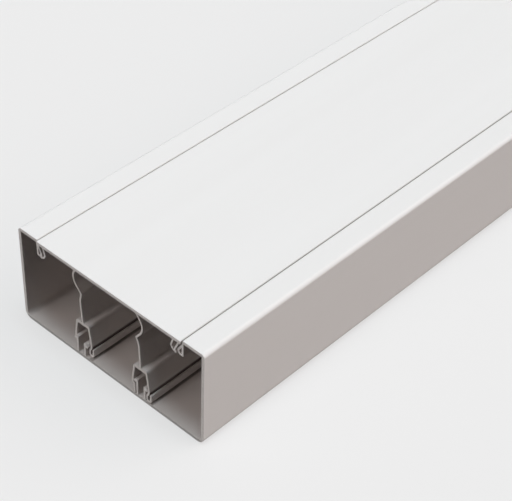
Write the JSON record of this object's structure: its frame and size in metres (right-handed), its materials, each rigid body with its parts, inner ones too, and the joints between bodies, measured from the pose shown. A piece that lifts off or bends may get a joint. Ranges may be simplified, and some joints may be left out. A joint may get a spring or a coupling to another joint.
{
  "type": "compartment cable trunking",
  "caption": "Length of white plastic cable trunking: a flanged channel base with a flat snap-in lid and clip-in dividers that part it into cable compartments.",
  "frame": {"origin": "middle of the base's flat back, the face that goes against the wall", "axes": "+Y along the length away from the sawn end in the picture, +X across the width, +Z from the back to the lid"},
  "size_m": [0.13, 2.001, 0.06],
  "materials": {
    "shell_pvc": "satin",
    "divider_pvc": "satin"
  },
  "bodies": {
    "root": {"trunking_base": "shell_pvc", "lid": "shell_pvc", "divider_left": "divider_pvc", "divider_right": "divider_pvc"}
  },
  "joints": []
}
